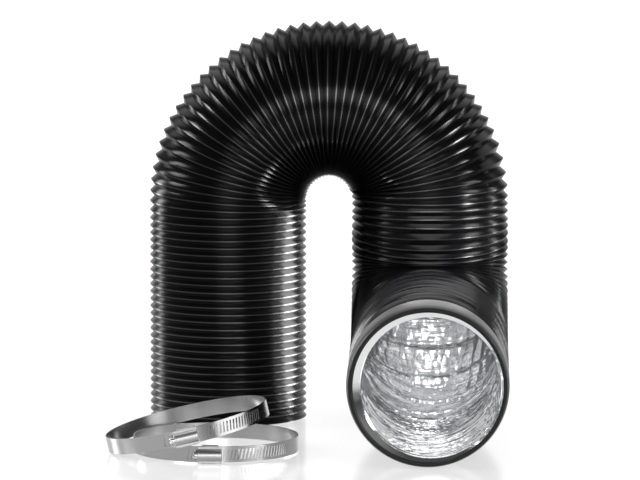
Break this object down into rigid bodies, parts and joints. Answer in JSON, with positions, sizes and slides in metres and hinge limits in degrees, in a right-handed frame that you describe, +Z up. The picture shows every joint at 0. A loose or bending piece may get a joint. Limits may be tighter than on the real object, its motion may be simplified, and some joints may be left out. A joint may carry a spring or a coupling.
{
  "type": "flexible air duct",
  "caption": "Black pleated flexible air duct with a foil liner and cuffed mouth, standing in an arch, with loose worm-drive clamps that fasten it to round spigots.",
  "frame": {"origin": "on the floor under the middle of the assembly's bounding box, duct and loose clamps together", "axes": "+Z up, the mouth faces -Y, the arch spans X with the standing leg at -X"},
  "size_m": [0.2826, 0.2986, 0.2867],
  "materials": {
    "black_pvc_film": "satin black film, pleated",
    "aluminium_foil": "bright crinkled foil",
    "black_moulded_pvc": "smooth satin moulding",
    "bright_steel": "polished",
    "spring_wire": "drawn wire",
    "stainless_strip": "rolled bright stainless",
    "plated_screw": "zinc plated"
  },
  "bodies": {
    "duct": {"sleeve_standing_leg": "black_pvc_film", "sleeve_arch_rise": "black_pvc_film", "sleeve_arch_fall": "black_pvc_film", "liner_main": "aluminium_foil"},
    "front_leg": {"sleeve_elbow": "black_pvc_film", "sleeve_front": "black_pvc_film", "liner_elbow": "aluminium_foil", "liner_front": "aluminium_foil"},
    "front_end": {"front_cuff": "black_moulded_pvc", "mouth_ring": "bright_steel", "wire_end_turns": "spring_wire"},
    "clamp_a": {"clamp_a_band": "stainless_strip", "clamp_a_saddle": "stainless_strip", "clamp_a_housing": "stainless_strip"},
    "clamp_a_worm": {"clamp_a_screw": "plated_screw"},
    "clamp_b": {"clamp_b_band": "stainless_strip", "clamp_b_saddle": "stainless_strip", "clamp_b_housing": "stainless_strip"},
    "clamp_b_worm": {"clamp_b_screw": "plated_screw"}
  },
  "joints": [
    {"name": "elbow_swing", "type": "hinge", "parent": "duct", "child": "front_leg", "pos_m": [0.08483, 0.09066, 0.1575], "axis": [0, 0, 1], "range_deg": [-8, 30]},
    {"name": "front_stretch", "type": "slide", "parent": "front_leg", "child": "front_end", "axis": [0, -1, 0], "range_m": [-0.05, 0.035], "deforming": ["sleeve_front", "liner_front"]},
    {"name": "clamp_a_draw", "type": "slide", "parent": "duct", "child": "clamp_a", "axis": [0, -1, 0], "range_m": [0, 0.15]},
    {"name": "clamp_b_lift", "type": "slide", "parent": "clamp_a", "child": "clamp_b", "axis": [0, 0, 1], "range_m": [0, 0.06]},
    {"name": "clamp_a_screw_turn", "type": "hinge", "parent": "clamp_a", "child": "clamp_a_worm", "pos_m": [-0.066, -0.13731, 0.00674], "axis": [0.9996, -0.0297, 0.0002], "continuous": true},
    {"name": "clamp_b_screw_turn", "type": "hinge", "parent": "clamp_b", "child": "clamp_b_worm", "pos_m": [-0.08227, -0.13791, 0.01913], "axis": [0.9739, 0.0314, 0.2248], "continuous": true}
  ]
}
